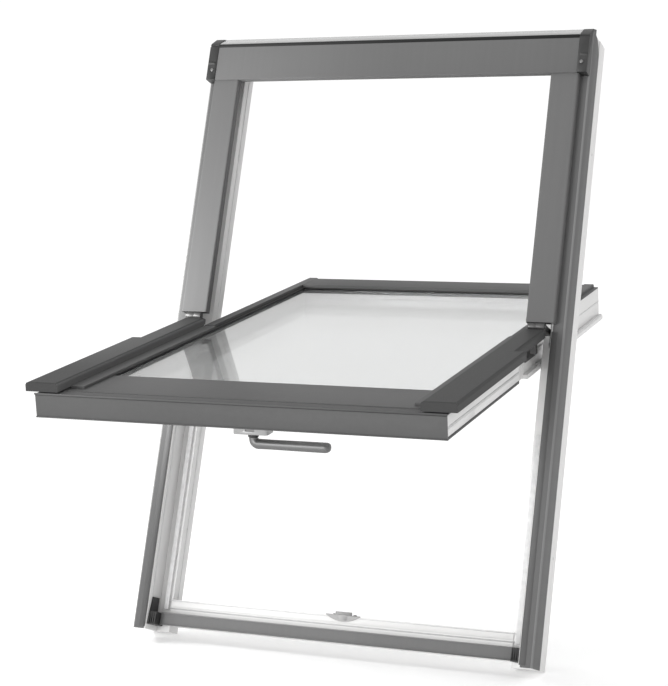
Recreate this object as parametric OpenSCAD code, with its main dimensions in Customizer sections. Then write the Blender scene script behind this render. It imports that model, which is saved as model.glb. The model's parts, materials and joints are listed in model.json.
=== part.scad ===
// Centre-pivot roof window: a PVC frame with aluminium covers and a glazed sash that turns
// about a level axis near its middle. The frame leans back as if set in a roof.
// Origin: the middle of the sill's underside. +X is right, +Z is up, +Y goes indoors.
// Pieces are drawn with the frame upright and the sash closed, then leaned and opened.

/* [Overall] */
// Outer width of the frame
frame_w = 780; // [620:5:1340]
// Outer height of the frame along the slope
frame_h = 1180; // [980:5:1600]
// Depth of the frame from its front to its indoor side
frame_d = 88; // [80:1:120]
// Lean of the frame back from upright, degrees
lean_deg = 18.7; // [0:0.1:75]
// How far the sash stands open, degrees
open_deg = 64.3; // [0:0.1:150]

/* [Frame profile] */
// Width of the jamb in front of its lip
jamb_face_w = 26; // [22:0.5:40]
// How far the lip stands inward from the jamb
lip_w = 26; // [22:0.5:34]
// Depth of the lip
lip_d = 38; // [30:0.5:40]
// Wall of the hollow profiles
wall = 3; // [2:0.1:4]
// Height of the head in front of its lip
head_face_h = 26; // [22:0.5:30]
// How far the head's lip stands below the head
head_lip_h = 27; // [20:0.5:40]
// Height of the sill's lip above the frame's foot
sill_lip_h = 62; // [56:0.5:70]
// Height of the sill fascia's top edge
sill_top = 34.5; // [30:0.5:40]
// Height of the sill fascia's lower edge
sill_low = 12; // [6:0.5:20]
// How far the fascia stands back from the frame's front
sill_set = 27; // [20:0.5:32]

/* [Sash] */
// Height of the pivot axis above the frame's middle
pivot_rise = 14; // [0:1:60]
// How far the pivot axis stands in front of the frame
pivot_out = 20; // [19:0.5:24]
// Thickness of the sash's wide lower part
sash_t = 40; // [34:0.5:42]
// Gap between the lower part and the jambs
side_gap = 2.8; // [2:0.1:6]
// Gap between the upper part and the lips
upper_gap = 11; // [9:0.5:14]
// Width of the glazed rebate bars beside the glass
stile_w = 31; // [28:0.5:36]
// Depth of the indoor part of the sash behind its front
inner_d = 66; // [60:0.5:68]
// How far below the pivot the wide lower part ends
wide_end = 180; // [150:1:240]
// Width of the bottom rail with its cladding
bottom_w = 150; // [120:1:180]
// Width of the top rail
top_w = 87; // [70:1:110]

/* [Covers] */
// Thickness of the aluminium sheet
sheet = 1.5; // [1:0.1:2]
// How far the covers stand in front of the frame
cover_out = 17; // [12:0.5:18]
// Half the gap between lower and upper covers
cover_gap = 9; // [8:0.5:12]
// Outer edge of the lower covers, in from the frame's side
lower_cover_in = 11.5; // [0.5:0.5:14]
// Width of the lower covers' raised plate
lower_cover_w = 60; // [50:1:70]
// Width of the stepped-down bead beside the glass
bead_w = 25.5; // [20:0.5:30]
// How far above the sash's foot the bead starts
bead_set = 46; // [30:1:60]
// Width of the upper covers
upper_cover_w = 53; // [44:1:56]
// Height of the hood's front face
hood_face_h = 70; // [50:1:75]
// How far the hood stands in front of the frame
hood_out = 22; // [20:0.5:26]

/* [Glass] */
// Thickness of each pane
pane_t = 4; // [3:0.5:6]
// Gap between the panes
pane_gap = 16; // [10:1:18]

/* [Handle] */
// Sideways place of the handle
handle_x = 12; // [-60:1:60]
// Length of the lever beyond its collar
lever_l = 134; // [90:1:160]
// Diameter of the hinge pins
pin_d = 6; // [5:0.5:8]

/* [Fixing holes] */
// Diameter of the fixing holes through the jambs
fix_d = 5.4; // [4:0.1:8]
// Height of the lower fixing holes
fix_low = 200; // [120:5:300]
// Height of the upper fixing holes below the frame's top
fix_high = 220; // [120:5:300]

/* [Hidden] */
$fn = 48;

fit = 0.2;
over = 1;
half_w = frame_w / 2;
white = "#e9e9e6";
grey = "#6b6f71";
dark = "#2a2b2c";
steel = "#a9adaf";
rubber = "#1d1e1f";

// Frame lines
face_y = 2;
jamb_x = half_w - jamb_face_w;
lip_x = jamb_x - lip_w;
lip_y = frame_d - lip_d;
head_face_z = frame_h - head_face_h;
head_lip_z = head_face_z - head_lip_h;
head_bevel = 12;
trim_end = lip_y + 1.3;
trim_w = 22.4;
trim_r = 4;
trim_top_r = 40;
jamb_bevel = 2;
sill_lip_y = lip_y - 2;
seat_y = (sill_lip_y + frame_d) / 2;
sill_half = jamb_x - 16;
groove = 1.6;
groove_z = sill_lip_h - 14;
end_wall = 4;
fix_z = [fix_low, frame_h - fix_high];
fix_y = (lip_y + frame_d) / 2;
sleeve_r = fix_d / 2 + 4;

// Sash lines, drawn closed
pivot_z = frame_h / 2 + pivot_rise;
sash_z = sill_top + 3.5;
sash_top = head_lip_z - 6;
wide_x = jamb_x - side_gap;
narrow_x = lip_x - upper_gap;
flange_x = lip_x - 3;
shade_x = narrow_x - 3;
sash_back = face_y + sash_t;
inner_back = face_y + inner_d;
flange_t = 8;
clad_y = face_y + sheet + fit;
wide_z = pivot_z - wide_end;
flange_z = pivot_z - 40;
glass_x = narrow_x - 22;
setting_x = [glass_x / 2, glass_x / 2 + 60];
rebate_x = glass_x + 1.5;
sight_x = narrow_x - stile_w;
pane_y = face_y + 3;
pane_back = pane_y + 2 * pane_t + pane_gap;
shelf_y = pane_back + 1;
sight_low = sash_z + bottom_w;
glass_low = sight_low - 12;
shelf_low = sight_low - 6;
rail_low_z = glass_low - 4;
inner_low_z = sash_z + 104;
sight_high = sash_top - top_w;
glass_high = sight_high + 12;
shelf_high = sight_high + 2;
rail_high_z = glass_high + 3;

// Covers and hood
upper_in_x = narrow_x - 7;
upper_out_x = upper_in_x + upper_cover_w;
lower_out_x = half_w - lower_cover_in;
lower_in_x = lower_out_x - lower_cover_w;
notch_x = jamb_x - 3;
bead_x = lower_in_x - bead_w;
bead_y = -3;
bead_z = sash_z + bead_set;
cover_leg_x = lower_in_x + 15;
fold = 2;
cover_foot_y = -1.5;
notch_z = pivot_z - 190;
lower_end_z = pivot_z - cover_gap;
upper_end_z = pivot_z + cover_gap;
cap_t = 6;
trim_in_x = narrow_x - 29;
trim_out_x = upper_in_x - 2;
trim_rise = 4;
seal = 5;
hood_z = frame_h - 90;
hood_top_z = hood_z + hood_face_h;
hood_rim_z = frame_h + 10;
hood_rim_y = 22;
hood_x = half_w - 20;
hood_cap_out = half_w - 1;

// Hinge and handle
knuckle_r = pin_d / 2 + 3.5;
arm_h = 10;
base_arm_x = jamb_x - 22;
base_arm_w = 16;
sash_arm_x = base_arm_x - 0.3;
plate_t = 2.8;
hinge_plate_h = 64;
pin_clear = 0.05;
case_w = 62;
case_h = 28;
case_d = 20;
case_r = 6;
handle_z = sash_z + 50;
bolt_w = 16;
bolt_t = 4;
bolt_h = 24;
bolt_y = sash_back + 10.2;
bolt_travel = 10;
spindle_r = 4;
collar_r = 9;
lever_y = sash_back + 28;
case_x = [handle_x - case_w / 2, handle_x + case_w / 2];
case_y = [sash_back + fit, sash_back + case_d];
case_z = [handle_z - case_h / 2, handle_z + case_h / 2];
case_screw_x = 22;

// Screws, keep and steels
tube_t = 1.5;
stile_room_x = [sight_x + wall, shade_x - wall];
stile_room_y = [shelf_y + wall, inner_back - wall];
screw_r = 1.8;
head_r = 3.4;
head_h = 1.6;
screw_bite = 8;
cap_screw_l = 10;
cap_screw_x = hood_x + 8;
cap_screw_z = hood_z + 20;
hinge_screw_z = 24;
base_plate_y = [8, 44];
base_web_y = 18;
base_screw_y = [15, 37];
arm_plate_y = [6, 40];
arm_screw_y = [13, 33];
arm_foot_y = 30;
keep_screw_r = 1.6;
keep_half = 34;
keep_t = 1.5;
keep_y = [sill_lip_y - 1.2, sill_lip_y + 20];
keep_screw_x = 20;
keep_screw_y = sill_lip_y + 9;
keep_tab = 9;
keep_tab_h = 8;
keep_stand_y = [sill_lip_y + 0.5, sill_lip_y + 3.5];
keep_stand_h = 7.5;

// Placing ------------------------------------------------------------------------------------

module leaned() {
  rotate([-lean_deg, 0, 0]) translate([0, -seat_y, -sill_low]) children();
}

module opened() {
  leaned()
    translate([0, -pivot_out, pivot_z])
      rotate([-open_deg, 0, 0])
        translate([0, pivot_out, -pivot_z]) children();
}

module on_side(side) {
  if (side == "left") mirror([1, 0, 0]) children();
  else children();
}

module both_sides() {
  children();
  mirror([1, 0, 0]) children();
}

// Box from its limits
module block(x, y, z) {
  translate([x[0], y[0], z[0]]) cube([x[1] - x[0], y[1] - y[0], z[1] - z[0]]);
}

// Extrudes an outline in x and y up the slope
module up(z0, z1) {
  translate([0, 0, z0]) linear_extrude(z1 - z0) children();
}

// Extrudes an outline in y and z across the window
module across(x0, x1) {
  translate([x0, 0, 0]) rotate([90, 0, 90]) linear_extrude(x1 - x0) children();
}

// Extrudes an outline in x and z through the depth
module through(y0, y1) {
  translate([0, y1, 0]) rotate([90, 0, 0]) linear_extrude(y1 - y0) children();
}

module rod_x(x0, x1, y, z, r) {
  translate([x0, y, z]) rotate([0, 90, 0]) cylinder(h = x1 - x0, r = r);
}

module rod_y(x, y0, y1, z, r) {
  translate([x, y1, z]) rotate([90, 0, 0]) cylinder(h = y1 - y0, r = r);
}

module rod_z(x, y, z0, z1, r) {
  translate([x, y, z0]) cylinder(h = z1 - z0, r = r);
}

// A ring of four straight bars between two rectangles in x and z
module bars(x_in, x_out, y, z_in, z_out) {
  both_sides() block([x_in, x_out], y, z_out);
  block([-x_in + fit, x_in - fit], y, [z_out[0], z_in[0]]);
  block([-x_in + fit, x_in - fit], y, [z_in[1], z_out[1]]);
}

// Frame --------------------------------------------------------------------------------------

module jamb_outline() {
  skin_x = half_w - sheet - fit;
  polygon([
    [jamb_x, face_y], [skin_x - jamb_bevel, face_y], [skin_x, face_y + jamb_bevel],
    [skin_x, trim_end + fit], [half_w, trim_end + fit], [half_w, frame_d],
    [lip_x, frame_d], [lip_x, lip_y], [jamb_x, lip_y]]);
}

module jamb_chambers() {
  ends = [end_wall, frame_h - end_wall];
  lip_in = [lip_y + wall, frame_d - wall];
  block([jamb_x + wall, half_w - sheet - fit - wall], [face_y + wall, lip_y - wall], ends);
  block([lip_x + wall, jamb_x - wall / 2], lip_in, ends);
  block([jamb_x + wall / 2, half_w - wall], lip_in, ends);
}

// The jamb is a hollow profile, solid around each fixing hole and hinge screw
module jamb(side) {
  color(white) leaned() on_side(side) difference() {
    union() {
      difference() {
        up(0, frame_h) jamb_outline();
        jamb_chambers();
      }
      for (z = fix_z) rod_x(lip_x + over, half_w - over, fix_y, z, sleeve_r);
    }
    for (z = fix_z) rod_x(lip_x - over, half_w + over, fix_y, z, fix_d / 2);
    hinge_base_holes(screw_r + fit);
  }
}

module jamb_steel(side) {
  x = [jamb_x + wall + fit, half_w - sheet - 2 * fit - wall];
  y = [face_y + wall + fit, lip_y - wall - fit];
  z = [end_wall + 2, frame_h - end_wall - 2];
  color(steel) leaned() on_side(side) difference() {
    block(x, y, z);
    block([x[0] + tube_t, x[1] - tube_t], [y[0] + tube_t, y[1] - tube_t], [z[0] - over, z[1] + over]);
    hinge_base_holes(screw_r + fit);
  }
}

module head_rail() {
  front_x = jamb_x - fit;
  back_x = lip_x - fit;
  color(white) leaned() difference() {
    union() {
      across(-front_x, front_x) polygon([
        [face_y, head_face_z], [face_y, frame_h - head_bevel], [face_y + head_bevel, frame_h],
        [lip_y, frame_h], [lip_y, head_face_z]]);
      block([-back_x, back_x], [lip_y - over, frame_d], [head_lip_z, frame_h]);
    }
    block([-front_x + end_wall, front_x - end_wall], [face_y + head_bevel, lip_y - wall],
          [head_face_z + wall, frame_h - wall]);
    block([-back_x + end_wall, back_x - end_wall], [lip_y + wall, frame_d - wall],
          [head_lip_z + wall, frame_h - wall]);
  }
}

module sill_rail() {
  back_x = lip_x - fit;
  front_y = sill_set + sheet + fit;
  color(white) leaned() difference() {
    union() {
      block([-sill_half, sill_half], [front_y, sill_lip_y + over],
            [sill_low + sheet + fit, sill_top - sheet - fit]);
      block([-back_x, back_x], [sill_lip_y, frame_d], [sill_low, sill_lip_h]);
    }
    block([-back_x - over, back_x + over], [sill_lip_y - over, sill_lip_y + groove],
          [groove_z, groove_z + groove]);
    block([-back_x + end_wall, back_x - end_wall], [sill_lip_y + wall + groove, frame_d - wall],
          [sill_low + wall, sill_lip_h - wall]);
    keep_holes(keep_screw_r + fit);
  }
}

module sill_cladding() {
  color(grey) leaned() across(-sill_half, sill_half) polygon([
    [sill_set, sill_low], [sill_set, sill_top], [sill_lip_y - fit, sill_top],
    [sill_lip_y - fit, sill_top - sheet], [sill_set + sheet, sill_top - sheet],
    [sill_set + sheet, sill_low + sheet], [sill_lip_y - fit, sill_low + sheet],
    [sill_lip_y - fit, sill_low]]);
}

// Ribbed corner block with a thin fin that stands up between jamb and sash
module sill_block(side) {
  rib = 2;
  x = [sill_half + fit, jamb_x - fit];
  fin_x = x[1] - 1.9;
  low_y = face_y + 2;
  back_y = 40;
  fin_z = sill_lip_h - 1;
  low_z = sill_low - 3;
  shoulder_z = sill_top - 1;
  color(dark) leaned() on_side(side) difference() {
    union() {
      across(x[0], x[1]) polygon([
        [low_y, low_z], [low_y + 4, shoulder_z], [back_y, shoulder_z], [back_y, low_z]]);
      across(fin_x, x[1]) polygon([
        [low_y + 4, shoulder_z - over], [low_y + 9, fin_z], [back_y, fin_z],
        [back_y, shoulder_z - over]]);
    }
    for (rib_x = [x[0] + rib : 2 * rib : x[1] - 2 * rib])
      block([rib_x, rib_x + rib], [0, low_y + 2 * rib], [low_z + rib, frame_h]);
  }
}

module side_trim(side) {
  in_x = half_w - trim_w;
  round_z = frame_h - trim_top_r;
  round_y = trim_end - trim_top_r;
  color(grey) leaned() on_side(side) difference() {
    up(0, frame_h) difference() {
      trim_solid(half_w, in_x, 0, trim_r);
      translate([-sheet, 0]) trim_solid(half_w, in_x - over, sheet, trim_r - sheet);
    }
    across(half_w - 2 * sheet, half_w + over) difference() {
      translate([round_y, round_z]) square(trim_top_r + over);
      translate([round_y, round_z]) circle(trim_top_r);
    }
  }
}

// Outline of the side trim with one rounded corner
module trim_solid(out_x, in_x, y, r) {
  polygon([
    [in_x, y], [out_x - r, y], [out_x - r, y + r], [out_x, y + r], [out_x, trim_end + y],
    [in_x, trim_end + y]]);
  translate([out_x - r, y + r]) circle(r);
}

// Folded channel that covers the upper half of each jamb
module upper_cover(side) {
  edge = fold;
  leg_x = jamb_x + 2 * fit;
  out = upper_out_x;
  in = upper_in_x;
  color(grey) leaned() on_side(side) up(upper_end_z, hood_z - fit) polygon([
    [in, -cover_out + edge], [in + edge, -cover_out], [out - edge, -cover_out],
    [out, -cover_out + edge], [out, -fit], [out - sheet, -fit],
    [out - sheet, -cover_out + sheet], [leg_x + sheet, -cover_out + sheet],
    [leg_x + sheet, face_y - fit], [leg_x, face_y - fit], [leg_x, -cover_out + sheet],
    [in + sheet, -cover_out + sheet], [in + sheet, cover_foot_y], [in, cover_foot_y]]);
}

// Plastic plug in the lower end of each upper cover
module cover_end(side) {
  in = upper_in_x + sheet + fit;
  color(dark) leaned() on_side(side)
    block([in, jamb_x - fit], [-cover_out + sheet + fit, cover_foot_y],
          [upper_end_z, upper_end_z + cap_t]);
}

module hood_outline(grow) {
  polygon([
    [-hood_out - grow, hood_z], [-hood_out - grow, hood_top_z - grow],
    [-hood_out + sheet, hood_top_z], [-hood_out + sheet, hood_top_z + 2],
    [-hood_out - grow, hood_top_z + 3], [-hood_out + 3, hood_top_z + 7 + grow],
    [0, frame_h + 3 + grow], [hood_rim_y, hood_rim_z + grow], [hood_rim_y, frame_h + fit],
    [-fit, frame_h + fit], [-fit, hood_z]]);
}

module hood_inside() {
  deep = 2 * sheet;
  polygon([
    [-hood_out + sheet, hood_z + sheet], [-hood_out + sheet, hood_top_z - 2 * sheet],
    [-hood_out + deep, hood_top_z - sheet], [-hood_out + deep, hood_top_z + deep],
    [-hood_out + 4, hood_top_z + 6], [0, frame_h + 1], [hood_rim_y - sheet, hood_rim_z - 2 * sheet],
    [hood_rim_y - sheet, frame_h], [2 * over, frame_h], [2 * over, hood_z + sheet]]);
}

// Folded hood over the head, with a return below and a web that rests on the head's front
module hood() {
  web_z = head_face_z + over;
  color(grey) leaned() {
    across(-hood_x, hood_x) difference() {
      hood_outline(0);
      hood_inside();
      translate([-trim_rise - 2, hood_z - over]) square([trim_rise + 4, sheet + 2 * over]);
    }
    block([-jamb_x, jamb_x], [-hood_out + sheet / 2, face_y - fit], [web_z, web_z + sheet]);
  }
}

module hood_cap(side) {
  bump_r = 4;
  color(dark) leaned() on_side(side) difference() {
    union() {
      across(hood_x + fit, hood_cap_out) hood_outline(0.8);
      rod_x(hood_x + 4, hood_cap_out - over, -hood_out + bump_r / 2, hood_z + hood_face_h / 2, bump_r);
    }
    hood_screw_at(screw_r + fit, cap_screw_l + fit);
  }
}

module hood_screw_at(r, length) {
  rod_y(cap_screw_x, -hood_out - 2, -hood_out + length, cap_screw_z, r);
}

module hood_screws() {
  head_y = -hood_out - 0.8 - fit;
  color(steel) leaned() both_sides() {
    hood_screw_at(screw_r, cap_screw_l);
    rod_y(cap_screw_x, head_y - head_h, head_y, cap_screw_z, head_r);
  }
}

module keep_holes(r) {
  for (side = [-1, 1])
    rod_z(handle_x + side * keep_screw_x, keep_screw_y, sill_lip_h - 2 * wall,
          sill_lip_h + keep_t + over, r);
}

// Lens-shaped keep on the sill's lip: the bolt drops behind its upstand
module sill_keep() {
  depth = keep_y[1] - keep_y[0];
  arc_r = (keep_half * keep_half + depth * depth) / (2 * depth);
  plate_z = [sill_lip_h + fit, sill_lip_h + fit + keep_t];
  stand_x = [handle_x - bolt_w, handle_x + bolt_w];
  color(steel) leaned() difference() {
    union() {
      up(plate_z[0], plate_z[1]) intersection() {
        translate([handle_x - keep_half, keep_y[0]]) square([2 * keep_half, depth]);
        translate([handle_x, keep_y[1] - arc_r]) circle(arc_r, $fn = 96);
      }
      block(stand_x, keep_stand_y, [plate_z[0], sill_lip_h + keep_stand_h]);
      block([handle_x - keep_tab, handle_x + keep_tab], [keep_y[0], sill_lip_y - fit],
            [sill_lip_h - keep_tab_h, plate_z[1]]);
    }
    keep_holes(keep_screw_r + fit);
  }
}

module keep_screws() {
  seat = sill_lip_h + keep_t + 2 * fit;
  color(steel) leaned() for (side = [-1, 1]) {
    rod_z(handle_x + side * keep_screw_x, keep_screw_y, sill_lip_h - wall, seat + over, keep_screw_r);
    rod_z(handle_x + side * keep_screw_x, keep_screw_y, seat, seat + head_h, head_r);
  }
}

// Weather strips on the lips behind the wide lower part of the sash
module frame_gasket() {
  color(rubber) leaned() both_sides()
    block([lip_x + 5, lip_x + 14], [sash_back + 1.2, lip_y - fit], [sash_z + 4, wide_z - 6]);
}

// Hinges -------------------------------------------------------------------------------------

module hinge_base_holes(r) {
  for (z = [-1, 1], y = base_screw_y)
    rod_x(jamb_x - screw_bite, jamb_x + screw_bite + over, y, pivot_z + z * hinge_screw_z, r);
}

module hinge_base(side) {
  plate = [jamb_x - fit - plate_t, jamb_x - fit];
  arm_z = [pivot_z - arm_h / 2, pivot_z + arm_h / 2];
  color(steel) leaned() on_side(side) difference() {
    union() {
      block(plate, base_plate_y, [pivot_z - hinge_plate_h / 2, pivot_z + hinge_plate_h / 2]);
      rod_x(base_arm_x, base_arm_x + base_arm_w, -pivot_out, pivot_z, knuckle_r);
      block([base_arm_x, base_arm_x + base_arm_w], [-pivot_out, arm_foot_y], arm_z);
      block([base_arm_x, plate[1]], [base_web_y, arm_foot_y], arm_z);
    }
    rod_x(base_arm_x - over, jamb_x, -pivot_out, pivot_z, pin_d / 2 + pin_clear);
    hinge_base_holes(screw_r + fit);
  }
}

module hinge_base_screws() {
  seat = jamb_x - fit - plate_t - fit;
  color(steel) leaned() both_sides() for (z = [-1, 1], y = base_screw_y) {
    rod_x(seat - over, jamb_x + screw_bite, y, pivot_z + z * hinge_screw_z, screw_r);
    rod_x(seat - head_h, seat, y, pivot_z + z * hinge_screw_z, head_r);
  }
}

// Each pin runs in the arm's knuckle and is held in the base's knuckle
module hinge_pins() {
  color(steel) leaned() both_sides() {
    rod_x(narrow_x - over, base_arm_x + base_arm_w + fit + over, -pivot_out, pivot_z, pin_d / 2);
    rod_x(base_arm_x + base_arm_w + fit, base_arm_x + base_arm_w + 2 * over, -pivot_out, pivot_z,
          pin_d / 2 + over);
  }
}

module hinge_arm_holes(r) {
  for (z = [-1, 1], y = arm_screw_y)
    rod_x(narrow_x - screw_bite - over, narrow_x + screw_bite, y, pivot_z + z * hinge_screw_z, r);
}

module hinge_arm(side) {
  plate = [narrow_x + fit, narrow_x + fit + plate_t];
  arm_z = [pivot_z - arm_h / 2, pivot_z + arm_h / 2];
  color(steel) opened() on_side(side) difference() {
    union() {
      block(plate, arm_plate_y, [pivot_z - hinge_plate_h / 2, pivot_z + hinge_plate_h / 2]);
      rod_x(narrow_x + fit, sash_arm_x, -pivot_out, pivot_z, knuckle_r);
      block([narrow_x + fit, sash_arm_x], [-pivot_out, arm_foot_y], arm_z);
    }
    rod_x(narrow_x - over, base_arm_x + over, -pivot_out, pivot_z, pin_d / 2 + pin_clear);
    hinge_arm_holes(screw_r + fit);
  }
}

module hinge_arm_screws() {
  seat = narrow_x + fit + plate_t + fit;
  color(steel) opened() both_sides() for (z = [-1, 1], y = arm_screw_y) {
    rod_x(narrow_x - screw_bite, seat + over, y, pivot_z + z * hinge_screw_z, screw_r);
    rod_x(seat, seat + head_h, y, pivot_z + z * hinge_screw_z, head_r);
  }
}

// Sash ---------------------------------------------------------------------------------------

// Outline of the stile: rebate for the glass in front, bar that the glass rests on behind
module stile_outline(out_x, back_x, flange) {
  polygon([
    [rebate_x, clad_y], [out_x, clad_y], [out_x, sash_back], [back_x, sash_back],
    [back_x, inner_back], [sight_x, inner_back], [sight_x, shelf_y], [rebate_x, shelf_y]]);
  if (flange)
    polygon([
      [sight_x, inner_back - flange_t], [flange_x, inner_back - flange_t],
      [flange_x, inner_back], [sight_x, inner_back]]);
}

module stile(side) {
  low = rail_low_z + fit;
  color(white) opened() on_side(side) difference() {
    union() {
      up(low, wide_z) stile_outline(wide_x, shade_x, false);
      up(wide_z - fit, flange_z) stile_outline(narrow_x, shade_x, false);
      up(flange_z - fit, sash_top) stile_outline(narrow_x, narrow_x, true);
    }
    block([narrow_x + wall, wide_x - wall], [clad_y + wall, sash_back - wall],
          [low + end_wall, wide_z - end_wall]);
    block([rebate_x + wall, narrow_x - wall], [clad_y + wall, shelf_y - wall],
          [low + end_wall, sash_top - end_wall]);
    block(stile_room_x, stile_room_y, [low + end_wall, sash_top - end_wall]);
    hinge_arm_holes(screw_r + fit);
  }
}

module stile_steel(side) {
  x = [stile_room_x[0] + fit, stile_room_x[1] - fit];
  y = [stile_room_y[0] + fit, stile_room_y[1] - fit];
  z = [rail_low_z + 2 * end_wall, sash_top - 2 * end_wall];
  color(steel) opened() on_side(side) difference() {
    block(x, y, z);
    block([x[0] + tube_t, x[1] - tube_t], [y[0] + tube_t, y[1] - tube_t], [z[0] - over, z[1] + over]);
    hinge_arm_holes(screw_r + fit);
  }
}

module bottom_rail() {
  in_x = sight_x - fit;
  color(white) opened() difference() {
    union() {
      block([-wide_x, wide_x], [clad_y, sash_back - sheet - fit], [sash_z + sheet + fit, rail_low_z]);
      block([-shade_x, shade_x], [sash_back - sheet - over, inner_back], [inner_low_z, rail_low_z]);
      block([-in_x, in_x], [shelf_y, inner_back], [rail_low_z - over, shelf_low]);
    }
    block([-wide_x + end_wall, wide_x - end_wall], [clad_y + wall, sash_back - sheet - wall],
          [sash_z + sheet + 2 * wall, inner_low_z - wall]);
    block([-shade_x + end_wall, shade_x - end_wall], [clad_y + wall, inner_back - wall],
          [inner_low_z + wall, rail_low_z - wall]);
    case_holes(keep_screw_r + fit);
  }
}

module top_rail() {
  front_x = rebate_x - fit;
  back_x = sight_x - fit;
  color(white) opened() difference() {
    union() {
      block([-front_x, front_x], [clad_y, shelf_y], [rail_high_z, sash_top]);
      block([-back_x, back_x], [clad_y, inner_back], [rail_high_z, sash_top]);
      block([-back_x, back_x], [shelf_y, inner_back], [shelf_high, sash_top]);
    }
    block([-back_x + end_wall, back_x - end_wall], [clad_y + wall, inner_back - wall],
          [rail_high_z + wall, sash_top - wall]);
  }
}

// Folded sheet over the bottom rail: fascia below, ridge near it, edge over the glass
module bottom_cladding() {
  ridge_z = sash_z + 20;
  ridge_x = lower_in_x - over;
  lift = 1.5;
  color(grey) opened() {
    across(-wide_x - 0.5, wide_x + 0.5) polygon([
      [face_y, sash_z], [face_y, sight_low], [face_y + sheet, sight_low],
      [face_y + sheet, sash_z + sheet], [sash_back - sheet, sash_z + sheet],
      [sash_back - sheet, sash_z + 24], [sash_back, sash_z + 24], [sash_back, sash_z]]);
    across(-ridge_x, ridge_x) polygon([
      [face_y, sash_z], [face_y - lift, ridge_z], [face_y, ridge_z + lift],
      [face_y + sheet, ridge_z + lift], [face_y + sheet, sash_z]]);
  }
}

// Outline of the lower cover: raised plate outside, stepped-down bead on the glass side
module lower_cover_outline(out) {
  leg_x = cover_leg_x;
  foot = face_y - fit;
  polygon([
    [lower_in_x, -cover_out + fold], [lower_in_x + fold, -cover_out],
    [out - fold, -cover_out], [out, -cover_out + fold], [out, cover_foot_y],
    [out - sheet, cover_foot_y], [out - sheet, -cover_out + sheet],
    [leg_x + sheet, -cover_out + sheet], [leg_x + sheet, foot], [leg_x, foot],
    [leg_x, -cover_out + sheet], [lower_in_x + sheet, -cover_out + sheet],
    [lower_in_x + sheet, cover_foot_y], [lower_in_x, cover_foot_y]]);
}

// Stepped-down bead between the raised plate and the glass
module bead_outline() {
  foot = face_y - fit;
  polygon([
    [lower_in_x + over, bead_y], [bead_x, bead_y], [bead_x, foot], [bead_x + sheet, foot],
    [bead_x + sheet, bead_y + sheet], [lower_in_x + over, bead_y + sheet]]);
}

module lower_cover(side) {
  color(grey) opened() on_side(side) {
    up(sash_z, notch_z) lower_cover_outline(lower_out_x);
    up(notch_z - fit, lower_end_z) lower_cover_outline(notch_x);
    block([notch_x - sheet, lower_out_x], [-cover_out + sheet / 2, cover_foot_y],
          [notch_z - sheet, notch_z]);
    block([lower_in_x + sheet / 2, lower_out_x - sheet / 2], [-cover_out + sheet / 2, cover_foot_y],
          [sash_z, sash_z + sheet]);
    up(bead_z, lower_end_z) bead_outline();
    block([bead_x + sheet / 2, lower_in_x + over], [bead_y + sheet / 2, 0], [bead_z, bead_z + sheet]);
  }
}

// Plastic plug in the upper end of each lower cover
module cover_cap(side) {
  x = [cover_leg_x + sheet + fit, notch_x - sheet - fit];
  color(dark) opened() on_side(side)
    block(x, [-cover_out + sheet + fit, cover_foot_y], [lower_end_z - cap_t, lower_end_z]);
}

module upper_trim(side) {
  foot = face_y - fit;
  color(grey) opened() on_side(side) up(lower_end_z + 1, sash_top) polygon([
    [trim_in_x, -trim_rise], [trim_out_x - sheet, -trim_rise], [trim_out_x, -trim_rise + sheet],
    [trim_out_x, face_y], [narrow_x, face_y], [narrow_x, face_y + sheet],
    [trim_out_x - sheet, face_y + sheet], [trim_out_x - sheet, -trim_rise + sheet],
    [trim_in_x + sheet, -trim_rise + sheet], [trim_in_x + sheet, foot], [trim_in_x, foot]]);
}

module top_trim() {
  x = trim_in_x - fit;
  slope = 9;
  color(grey) opened() across(-x, x) polygon([
    [face_y - fit, sight_high], [-trim_rise, sight_high + 2], [-trim_rise, sash_top - slope],
    [face_y, sash_top], [face_y + sheet, sash_top], [face_y + sheet, sash_top - sheet],
    [-trim_rise + sheet, sash_top - slope - sheet], [-trim_rise + sheet, sight_high + 2 * sheet],
    [face_y - fit, sight_high + sheet]]);
}

module pane(y) {
  color("#cfe3e0", 0.5) opened() block([-glass_x, glass_x], [y, y + pane_t], [glass_low, glass_high]);
}

module spacer_bars() {
  bar = 8;
  gap_y = [pane_y + pane_t + 0.1, pane_y + pane_t + pane_gap - 0.1];
  color(steel) opened() bars(glass_x - seal - bar, glass_x - seal - fit, gap_y,
    [glass_low + seal + bar, glass_high - seal - bar], [glass_low + seal + fit, glass_high - seal - fit]);
}

module edge_seal() {
  gap_y = [pane_y + pane_t + 0.1, pane_y + pane_t + pane_gap - 0.1];
  color(rubber) opened() bars(glass_x - seal, glass_x, gap_y,
    [glass_low + seal, glass_high - seal], [glass_low, glass_high]);
}

module outer_gasket() {
  edge = glass_x - 11.8;
  color(rubber) opened() {
    both_sides() block([edge, edge + 10], [face_y + fit / 2, pane_y - fit / 2],
                       [sight_low + fit, sight_high - fit]);
    block([-edge, edge], [clad_y, pane_y - fit / 2], [sight_low - 8, sight_low - fit]);
    block([-edge, edge], [face_y, pane_y - fit / 2], [sight_high, sight_high + 8]);
  }
}

module inner_gasket() {
  edge = sight_x + 1;
  color(rubber) opened() bars(edge, edge + 7, [pane_back + 0.1, shelf_y - 0.1],
    [shelf_low - 5, shelf_high + 5], [glass_low + fit, glass_high - fit]);
}

// Blocks that carry the glass on the bottom rail
module setting_blocks() {
  color(dark) opened() both_sides()
    block(setting_x, [pane_y, pane_back], [rail_low_z + fit, glass_low - fit]);
}

// Strips on the flange of the sash's upper half
module flange_gasket() {
  color(rubber) opened() both_sides()
    block([narrow_x + fit, flange_x - fit], [inner_back - flange_t - 3, inner_back - flange_t - fit],
          [pivot_z + hinge_plate_h / 2 + 4, sash_top - 4]);
}

// Handle -------------------------------------------------------------------------------------

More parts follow.
